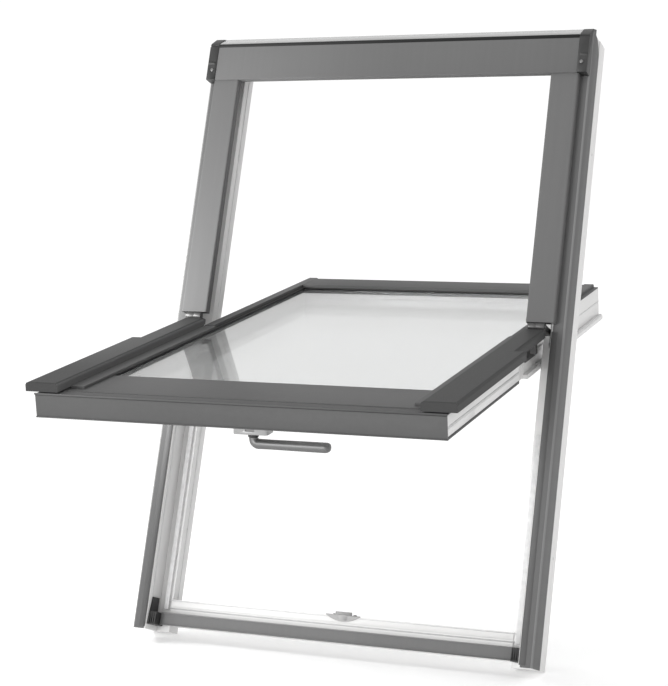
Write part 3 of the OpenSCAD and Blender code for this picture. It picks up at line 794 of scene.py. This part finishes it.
# %% [markdown]
# ## Small strips along the bars
# Extruded bars carry thin lips and grooves along their length. They are slight, but they draw
# the lines that make a bar read as an extrusion: a nose and a drip edge on the sash's fascia, a
# ridge on its rail, grey lines of painted shade on the sill, a near-black painted shadow at the
# hood's rim, and up each side two lines on the sash, the groove among them painted shade, a
# grey line of painted groove shade on the jamb and a strip of painted shade along the trim's
# inner edge. The black strips beside the rail's ridge and the fascia's nose are painted
# shadows, and the sill's nose is painted paler, a painted highlight. They could be cut into the
# bars' own meshes. A soft-edged strip laid on a bar is simpler, and its place is measured from
# the box of the bar that carries it.

# %% A bar with round edges
def strip(name, node, x, y, z, soft, kind=None):
    """A straight bar between limits in drawn mm, with its edges well rounded."""
    work = bmesh.new()
    bmesh.ops.create_cube(work, size=1.0)
    size = [high - low for low, high in (x, y, z)]
    middle = [(high + low) / 2 for low, high in (x, y, z)]
    work.transform(Matrix.Translation(middle) @ Matrix.Diagonal((*size, 1)))
    bmesh.ops.bevel(work, geom=work.edges[:], offset=soft, segments=3, profile=0.5)
    piece = add_piece(name, placed_mesh(work, name, BODY_OF[node]), node, stands_for=False)
    if kind:
        piece.data.materials[0] = finish_of(kind, BODY_OF[node])
    smooth(piece.data)
    return piece


def shifted(limits, by):
    """Two limits moved by the same amount."""
    return limits[0] + by, limits[1] + by


print("limits 2 to 5 moved by 1:", shifted((2, 5), 1))

# %% Strips that run across the window
# Each row: name, bar, how far its ends pass the bar's, depth from the bar's front, height from
# the bar's foot, softness of its edges, and a finish if it isn't the bar's own.
LEVEL_STRIPS = [
    ("fascia_nose", "bottom_cladding", 0.3, (-0.1, 2.9), (-1.4, 0.2), 0.7, None),
    ("rail_ridge", "bottom_cladding", -45.7, (-0.9, 1.1), (20.6, 23.4), 0.8, None),
    ("rail_shadow", "bottom_cladding", -45.7, (0.7, 1.7), (23.4, 24.6), 0.3, "black"),
    ("fascia_shadow", "bottom_cladding", -0.1, (2.9, 4.1), (-0.6, 0.1), 0.3, "black"),
    ("fascia_drip", "bottom_cladding", 0.3, (39.9, 41.9), (-1.1, 0.4), 0.6, None),
    # Painted highlight: the sill's nose in the paler fold finish.
    ("sill_nose", "sill_cladding", 0, (-0.8, 0.4), (20.6, 22.9), 0.5, "fold"),
    # Painted shade: two grey lines on the white sill.
    ("sill_line_low", "sill_rail", -2, (18.9, 19.9), (31.6, 34.2), 0.4, "line"),
    ("sill_line_top", "sill_rail", -2, (18.9, 19.9), (46.8, 48.8), 0.3, "pale"),
    # Painted shadow: a near-black line at the hood's rim.
    ("hood_rim", "hood", -0.5, (-0.3, 2.2), (67.6, 74.4), 0.4, "rim"),
    ("sill_drip", "sill_cladding", 0, (-1.0, 0.4), (-0.8, 1.4), 0.5, None),
]
for name, bar, past, depth, height, soft, kind in LEVEL_STRIPS:
    low, high = drawn_box(bar)
    end = high.x + past
    strip(name, bar, (-end, end), shifted(depth, low.y), shifted(height, low.z), soft, kind)
print("strips across:", len(LEVEL_STRIPS))

# %% How far the side strips reach up the window
SILL_TOP = drawn_box("sill_rail")[1].z
SASH_FOOT = drawn_box("bottom_rail")[0].z
SASH_TOP = drawn_box("stile_right")[1].z
HINGE_FOOT = drawn_box("hinge_arm_right")[0].z
HINGE_TOP = drawn_box("hinge_arm_right")[1].z
NOTCH_FOOT = drawn_box("lower_cover_right")[0].z + NOTCH_UP
COVER_FOOT = drawn_box("upper_cover_right")[0].z
REACH = {
    "sash_low": (SASH_FOOT - 0.7, NOTCH_FOOT + 9),
    "sash_high": (HINGE_TOP + 14, SASH_TOP - 1),
    "jamb_low": (SILL_TOP + 2, HINGE_FOOT - 12),
    "jamb_all": (SILL_TOP + 2, SASH_TOP - 1),
    "trim_low": (4, COVER_FOOT - 13),
}
for name, (foot, top) in REACH.items():
    print(name, "from %.0f to %.0f mm" % (foot, top))

# %% Strips that run up both sides
# Each row: name, bar, distance from the bar's outer face, depth from its front, reach up the
# window, softness of its edges, and finish.
SIDE_STRIPS = [
    # Painted shade: a grey line for the groove in the sash's side.
    ("side_groove", "stile", (-0.8, 0.3), (17.3, 22.1), "sash_low", 0.5, "line"),
    ("side_lip", "stile", (-0.8, 0.3), (33.5, 38.5), "sash_low", 0.5, "deep"),
    # Painted shade: grey lines for grooves on the sash and jamb, and a strip along the trim's
    # inner edge.
    ("upper_groove", "stile", (-34.9, -33.4), (26.3, 28.5), "sash_high", 0.5, "pale"),
    ("jamb_bead", "jamb", (-26.7, -25.4), (8.5, 11), "jamb_low", 0.5, "pale"),
    ("trim_fold", "side_trim", (-24.6, -12.8), (-0.35, 0.5), "trim_low", 0.3, "trim_fold"),
    ("lip_line", "jamb", (-52.6, -51.4), (66, 68), "jamb_all", 0.5, "pale"),
]


def mirrored(hand, limits):
    """Limits across the window on its right side, or the same ones mirrored to its left."""
    return limits if hand > 0 else (-limits[1], -limits[0])


for side, hand in HANDS.items():
    for name, bar, across, depth, reach, soft, kind in SIDE_STRIPS:
        bar = bar + "_" + side
        low, high = drawn_box(bar)
        wide = mirrored(hand, shifted(across, max(-low.x, high.x)))
        depth = shifted(depth, low.y)
        strip(name + "_" + side, bar, wide, depth, REACH[reach], soft, kind)
print("strips up each side:", len(SIDE_STRIPS))

# %% [markdown]
# ## Apron of the keep
# The steel keep that catches the bolt is bent down over the sill's front in a shallow arc. A
# boolean cut could give the arc, but its lower rim is a plain parabola, so the outline comes
# from a formula and stands twice, in front and behind, with a wall between.

# %% A thin plate with an arched lower rim
APRON_DROP = 11
APRON_END = 0.8
APRON_THICK = 0.9
APRON_STEPS = 24


def keep_apron():
    """A plate on the sill's front face, as wide as the keep and deepest in the middle."""
    low, high = drawn_box("sill_keep")
    middle = (low.x + high.x) / 2
    half = (high.x - low.x) / 2
    top = SILL_TOP + 1
    rim = [(middle - half, top), (middle + half, top)]
    for i in range(APRON_STEPS + 1):
        across = 1 - 2 * i / APRON_STEPS
        fall = APRON_END + APRON_DROP * (1 - across * across)
        rim.append((middle + half * across, top - fall))
    y = low.y + 0.1
    work = bmesh.new()
    front = [work.verts.new((x, y, z)) for x, z in rim]
    back = [work.verts.new((x, y + APRON_THICK, z)) for x, z in rim]
    join_rings(work, [front, back])
    work.faces.new(front)
    work.faces.new(back)
    bmesh.ops.recalc_face_normals(work, faces=work.faces)
    mesh = placed_mesh(work, "keep_apron", "frame")
    return add_piece("keep_apron", mesh, "sill_keep", stands_for=False)


print("bent", keep_apron().name)

# %% [markdown]
# ## Handle
# The lever is die cast. From its round collar a neck bends over into a flat grip that swells a
# little and ends in a rounded tip. A curve with a bevel object keeps one section all along, so
# the lever is swept ring by ring instead, with a soft oval section whose size changes on the way.

# %% Sweep a closed form along a path
case_low, case_high = drawn_box("lock_case")
HANDLE_X = (case_low.x + case_high.x) / 2
HANDLE_Z = (case_low.z + case_high.z) / 2
CASE_FACE = case_high.y


def bulge(part, power):
    """A cosine or sine pushed outward, so that a circle turns into a soft square."""
    return math.copysign(abs(part) ** (2 / power), part)


def swept(name, node, path, power, sides=28):
    """A closed sweep; path gives centre (x, y), direction angle and half sizes at each step."""
    work = bmesh.new()
    rings = []
    for x, y, angle, half_across, half_high in path:
        ring = []
        for i in range(sides):
            turn = 2 * math.pi * i / sides
            across = bulge(math.cos(turn), power) * half_across
            up = bulge(math.sin(turn), power) * half_high
            spot = (x - math.sin(angle) * across, y + math.cos(angle) * across, HANDLE_Z + up)
            ring.append(work.verts.new(spot))
        rings.append(ring)
    join_rings(work, rings)
    work.faces.new(rings[0])
    work.faces.new(rings[-1][::-1])
    bmesh.ops.recalc_face_normals(work, faces=work.faces)
    piece = add_piece(name, placed_mesh(work, name, BODY_OF[node]), node)
    smooth(piece.data)
    return piece


print("handle centre %.0f, %.0f, face %.0f mm" % (HANDLE_X, HANDLE_Z, CASE_FACE))

# %% The lever and its collar
OUTWARD = math.radians(90)
NECK_HALF = 7
BEND_START = CASE_FACE + 9
BEND = 9
BEND_STEPS = 8
GRIP_Y = BEND_START + BEND
GRIP_LONG = 126
GRIP = ((28, 7.6, 9.6), (68, 7.8, 9.9), (108, 8, 10), (GRIP_LONG, 8, 9.9))
TIP_ROUND = 8
TIP_STEPS = 6


def lever_path():
    """The neck, a quarter bend, then the grip with a rounded tip."""
    path = [
        (HANDLE_X, CASE_FACE + 0.6, OUTWARD, NECK_HALF, 7),
        (HANDLE_X, CASE_FACE + 6, OUTWARD, NECK_HALF, 7.2),
    ]
    for step in range(BEND_STEPS + 1):
        part = step / BEND_STEPS
        angle = OUTWARD * (1 - part)
        x = HANDLE_X + BEND * (1 - math.sin(angle))
        y = BEND_START + BEND * math.cos(angle)
        path.append((x, y, angle, NECK_HALF + part, 7.4 + 2 * part))
    for along, half_across, half_high in GRIP:
        path.append((HANDLE_X + along, GRIP_Y, 0, half_across, half_high))
    tip_across, tip_high = GRIP[-1][1:]
    for step in range(1, TIP_STEPS + 1):
        angle = OUTWARD * step / TIP_STEPS
        x = HANDLE_X + GRIP_LONG + TIP_ROUND * math.sin(angle)
        shrink = max(math.cos(angle), 0.05) ** 0.6
        path.append((x, GRIP_Y, 0, tip_across * shrink, tip_high * shrink))
    return path


def collar_path():
    """A short ring between the lock case and the neck."""
    steps = ((0.5, 8.4), (1.1, 9), (5.6, 9), (6.4, 8.2))
    return [(HANDLE_X, CASE_FACE + out, OUTWARD, half, half) for out, half in steps]


lever = swept("lever_cast", "lever", lever_path(), power=2.6)
collar = swept("lever_collar", "lever", collar_path(), power=2.0)
collar.data.materials[0] = finish_of("black", "handle")
print("cast", lever.name, "and", collar.name)

# %% [markdown]
# ## Screw heads
# The CAD screws are plain pins. Real ones here are pan heads with a cross recess. The recess
# could be a dark texture, but it would stay flat from close by, so each head is turned as a
# dome whose inmost ring drops along the arms of a cross.

# %% Turn a screw head
HEAD_RADIUS = 3.4
HEAD_SIDES = 24
HEAD_PROFILE = [(1.0, 0.0), (1.0, 0.35), (0.93, 0.62), (0.78, 0.84), (0.55, 0.97), (0.42, 1.0)]
RECESS_WIDE = 0.3
ARM_DEPTH = 0.35
LAND_DEPTH = 0.95


def ring_round(work, place, reach, heights):
    """A ring of vertices about a screw's axis, at one distance and the given heights."""
    ring = []
    for i, height in enumerate(heights):
        turn = 2 * math.pi * i / len(heights)
        spot = Vector((reach * math.cos(turn), reach * math.sin(turn), height))
        ring.append(work.verts.new(place @ spot))
    return ring


def recess_heights(height):
    """Heights round the recess: low along the cross's arms and high between them."""
    heights = []
    for i in range(HEAD_SIDES):
        turn = 2 * math.pi * i / HEAD_SIDES
        on_arm = max(abs(math.cos(turn)), abs(math.sin(turn))) > 0.93
        heights.append(height * (ARM_DEPTH if on_arm else LAND_DEPTH))
    return heights


def screw_head(work, centre, axis, height):
    """A dome with a cross recess, at a point in drawn mm, pointing along axis."""
    spin = Vector(axis).normalized().to_track_quat("Z", "Y").to_matrix().to_4x4()
    place = Matrix.Translation(centre) @ spin
    rings = []
    for across, up in HEAD_PROFILE:
        rings.append(ring_round(work, place, HEAD_RADIUS * across, [height * up] * HEAD_SIDES))
    rings.append(ring_round(work, place, HEAD_RADIUS * RECESS_WIDE, recess_heights(height)))
    join_rings(work, rings)
    floor = rings[-1]
    middle = work.verts.new(place @ Vector((0, 0, height * 0.3)))
    for i in range(HEAD_SIDES):
        work.faces.new((floor[i], floor[(i + 1) % HEAD_SIDES], middle))
    work.faces.new(rings[0][::-1])


print("screw heads %.1f mm across" % (2 * HEAD_RADIUS))

# %% Lay heads over the plain pins
def outer_pins(low, high):
    """Centres of the first and last pin between two limits of a node's box."""
    return low + HEAD_RADIUS, high - HEAD_RADIUS


def screw_heads(name, node, spots, axes, height):
    """Pan heads at several spots, each along its own axis."""
    work = bmesh.new()
    for spot, axis in zip(spots, axes):
        screw_head(work, spot, axis, height)
    bmesh.ops.recalc_face_normals(work, faces=work.faces)
    mesh = placed_mesh(work, name, BODY_OF[node])
    smooth(mesh)
    print(name, len(spots))
    return add_piece(name, mesh, node, stands_for=False)


low, high = drawn_box("hood_screws")
spots = [(x, low.y + 0.5, (low.z + high.z) / 2) for x in outer_pins(low.x, high.x)]
screw_heads("hood_screw_heads", "hood_screws", spots, [(0, -1, 0)] * 2, 1.4)

low, high = drawn_box("keep_screws")
spots = [(x, (low.y + high.y) / 2, high.z - 0.6) for x in outer_pins(low.x, high.x)]
screw_heads("keep_screw_heads", "keep_screws", spots, [(0, 0, 1)] * 2, 1.2)

low, high = drawn_box("case_screws")
spots = [(x, high.y - 0.6, HANDLE_Z) for x in outer_pins(low.x, high.x)]
screw_heads("case_screw_heads", "case_screws", spots, [(0, 1, 0)] * 2, 1.2)

low, high = drawn_box("hinge_arm_screws")
spots = []
for hand in HANDS.values():
    for y in outer_pins(low.y, high.y):
        for z in outer_pins(low.z, high.z):
            spots.append((hand * (high.x - 0.6), y, z))
sideways = [(x, 0, 0) for x, y, z in spots]
screw_heads("arm_screw_heads", "hinge_arm_screws", spots, sideways, 1.0)

# %% [markdown]
# ## Floor
# The window stands on a pale floor in a white studio. A backdrop that curves up would do, but a
# very wide plane under an even white sky looks the same from every side. It glows a little, so
# that it stays as white as the sky and only the soft contact shadow shows.

# %% Floor
FLOOR_SIZE = 80.0
FLOOR_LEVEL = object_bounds()[0].z


def make_floor():
    """A pale floor under the lowest point of the frame."""
    mesh = bpy.data.meshes.new("floor")
    half = FLOOR_SIZE / 2
    corners = [(-half, -half, 0), (half, -half, 0), (half, half, 0), (-half, half, 0)]
    mesh.from_pydata(corners, [], [(0, 1, 2, 3)])
    floor = bpy.data.objects.new("floor", mesh)
    floor.location.z = FLOOR_LEVEL
    bpy.context.scene.collection.objects.link(floor)
    made = Finish("floor")
    speck = made.noise(3, 4)
    made.put(Base_Color=speck.blend(tone(0.9), tone(0.92)), Roughness=0.9)
    made.put(Specular_IOR_Level=0.0)
    made.put(Emission_Color=tone(1.0), Emission_Strength=0.2)
    mesh.materials.append(made.material)


make_floor()
print("floor at %.4f m" % FLOOR_LEVEL)

# %% [markdown]
# ## World
# The sky is an even white from all round, and a little dimmer to the window's right. That one
# change keeps the white frame from melting into the background and gives its right flank a
# soft shade. A picture of a studio could light it too, but the scene reads no file.

# %% World
SKY = 1.04
RIGHT_DIM = 0.4

scene = bpy.context.scene
scene.view_settings.view_transform = "Standard"
world = bpy.data.worlds.new("studio")
world.use_nodes = True
scene.world = world
sky = world.node_tree.nodes["Background"]
around = add_node(world.node_tree, "ShaderNodeTexCoord", output="Generated")
to_right = add_node(world.node_tree, "ShaderNodeSeparateXYZ", None, {"Vector": around}, "X")
strength = SKY - to_right.ramp(0.25, 0.9) * RIGHT_DIM
world.node_tree.links.new(strength.socket, sky.inputs["Strength"])
sky.inputs["Color"].default_value = (1, 1, 1, 1)
print("sky %.2f, right side %.2f" % (SKY, SKY - RIGHT_DIM))

# %% [markdown]
# ## Lamps
# Large soft lamps shape what an even sky leaves flat. The key light stands far in front and to
# the left, and two small weak ones lift the left covers, as white cards beside a product would.

# %% Lamps
def lamp(name, place, aim, size, power):
    """A square soft lamp that faces a point."""
    data = bpy.data.lights.new(name, "AREA")
    data.size = size
    data.energy = power
    made = bpy.data.objects.new(name, data)
    made.location = place
    made.rotation_euler = (Vector(aim) - Vector(place)).to_track_quat("-Z", "Y").to_euler()
    scene.collection.objects.link(made)


lamp("key", place=(-2.5, -6.2, 1.0), aim=(0, 0.1, 0.6), size=2.4, power=230)
lamp("low_left", place=(-1.05, -0.15, 0.5), aim=(-0.35, 0.2, 0.75), size=0.4, power=6)
lamp("cover_fill", place=(-0.62, -0.18, 0.66), aim=(-0.36, 0.15, 0.78), size=0.2, power=3.4)

# %% [markdown]
# ## Camera
# The camera looks from the right and a little above, with a long lens, so the frame's sides
# stay almost parallel. Aiming it at an empty would tie two things together for one still view,
# so its direction is worked out from a turn and a tilt.

# %% Camera
CAMERA_PLACE = Vector((1.2446, -3.0884, 0.8642))
CAMERA_YAW = math.radians(22.067)
CAMERA_PITCH = math.radians(5.278)
CAMERA_LENS = 96.64
level = math.cos(CAMERA_PITCH)
forward = Vector(
    (-math.sin(CAMERA_YAW) * level, math.cos(CAMERA_YAW) * level, -math.sin(CAMERA_PITCH))
)
camera = bpy.data.objects.new("camera", bpy.data.cameras.new("camera"))
camera.data.lens = CAMERA_LENS
camera.location = CAMERA_PLACE
camera.rotation_euler = forward.to_track_quat("-Z", "Y").to_euler()
scene.collection.objects.link(camera)
scene.camera = camera
print("camera looks along", tuple(round(part, 3) for part in forward))
